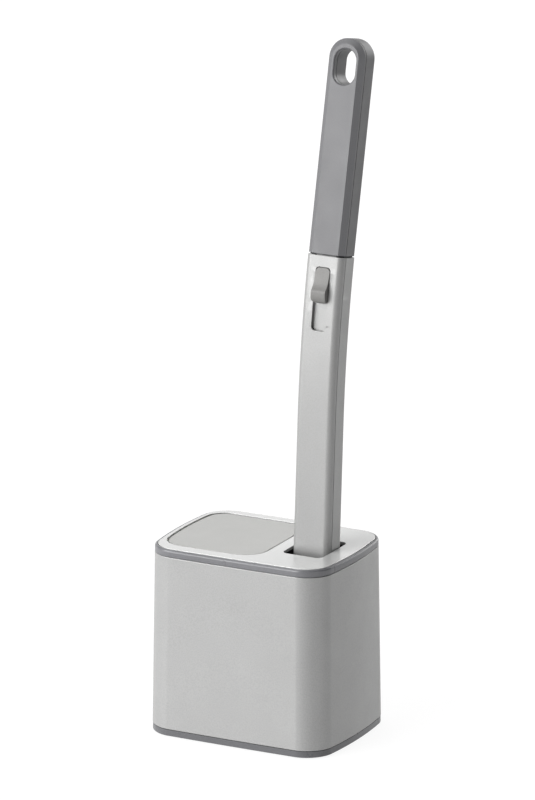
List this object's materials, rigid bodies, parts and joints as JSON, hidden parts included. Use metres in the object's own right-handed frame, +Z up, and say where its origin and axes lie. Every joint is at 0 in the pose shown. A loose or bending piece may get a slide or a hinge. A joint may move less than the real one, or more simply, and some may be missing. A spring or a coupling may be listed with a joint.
{
  "type": "toilet brush holder",
  "caption": "Free-standing caddy with a tip-up lid over a bin of spare brush heads, and a well holding a bent wand with a hanging hole and a thumb slider that opens its jaws.",
  "frame": {"origin": "on the floor, at the middle of the whole object's plan box, which reaches from the caddy's front to the grip's rear", "axes": "+Z up, -Y towards the caddy's front and the wand's thumb slider, +X to the wand's side"},
  "size_m": [0.1266, 0.1051, 0.4298],
  "materials": {
    "shell": "satin silver-grey paint with a fine speckle",
    "deck": "semi-gloss pale silver-grey moulding that reflects the wand",
    "lid": "fine matt texture, slightly warm pale grey",
    "trim": "satin mid-grey moulded bands",
    "well": "dark moulded plastic",
    "feet": "matt rubber",
    "grip_face": "smooth satin mid-grey cover",
    "grip_back": "satin dark-grey shell",
    "shaft": "satin silver-grey paint",
    "button": "satin warm grey",
    "moulding": "plain natural-white moulded plastic",
    "steel": "plain bright steel",
    "pad": "soft nonwoven layers soaked with cleaner"
  },
  "bodies": {
    "caddy": {"body_sleeve": "shell", "top_band": "trim", "deck_plate": "deck", "base_pan": "trim", "refill_bin": "moulding", "wand_well": "well", "lid_pin_left": "steel", "lid_pin_right": "steel", "foot_front_left": "feet", "foot_front_right": "feet", "foot_rear_right": "feet", "foot_rear_left": "feet", "base_screw_front_left": "steel", "base_screw_front_right": "steel", "base_screw_rear_right": "steel", "base_screw_rear_left": "steel", "spare_pad_lower": "pad", "spare_plug_lower": "moulding", "spare_pad_middle": "pad", "spare_plug_middle": "moulding", "spare_pad_upper": "pad", "spare_plug_upper": "moulding"},
    "lid": {"refill_lid": "lid"},
    "wand": {"shaft_front": "shaft", "shaft_rear": "shaft", "grip_front": "grip_face", "grip_rear": "grip_back", "grip_tenon": "well", "tenon_screw_lower": "steel", "tenon_screw_upper": "steel", "grip_screw": "steel", "shaft_screw_lower": "steel", "shaft_screw_upper": "steel", "end_collar": "well", "jaw_pin_left": "steel", "jaw_pin_right": "steel", "return_spring": "steel"},
    "slider": {"thumb_button": "button", "slider_strip": "shaft"},
    "rod": {"push_rod": "moulding", "spring_collar": "steel", "ejector": "moulding"},
    "left_jaw": {"jaw_left": "moulding"},
    "right_jaw": {"jaw_right": "moulding"}
  },
  "joints": [
    {"name": "lid_hinge", "type": "hinge", "parent": "caddy", "child": "lid", "pos_m": [0, 0.02067, 0.1145], "axis": [-1, 0, 0], "range_deg": [0, 75]},
    {"name": "wand_lift", "type": "slide", "parent": "caddy", "child": "wand", "axis": [0, 0.0593, 0.9982], "range_m": [0, 0.13]},
    {"name": "thumb_slide", "type": "slide", "parent": "wand", "child": "slider", "axis": [0, -0.1725, -0.985], "range_m": [0, 0.014], "stiffness_N_per_m": 150, "springref_m": -0.01},
    {"name": "rod_push", "type": "slide", "parent": "wand", "child": "rod", "axis": [0, -0.0593, -0.9982], "range_m": [0, 0.0141], "deforming": ["return_spring"]},
    {"name": "jaw_left_open", "type": "hinge", "parent": "wand", "child": "left_jaw", "pos_m": [0.0268, -0.00758, 0.05693], "axis": [0, 0.9982, -0.0593], "range_deg": [0, 7.1]},
    {"name": "jaw_right_open", "type": "hinge", "parent": "wand", "child": "right_jaw", "pos_m": [0.0412, -0.00758, 0.05693], "axis": [0, -0.9982, 0.0593], "range_deg": [0, 7.1]}
  ],
  "couplings": [
    {"joint": "rod_push", "follows": "thumb_slide", "ratio": 0.9935},
    {"joint": "jaw_left_open", "follows": "thumb_slide", "rad_per_m": 8.727},
    {"joint": "jaw_right_open", "follows": "thumb_slide", "rad_per_m": 8.727}
  ]
}
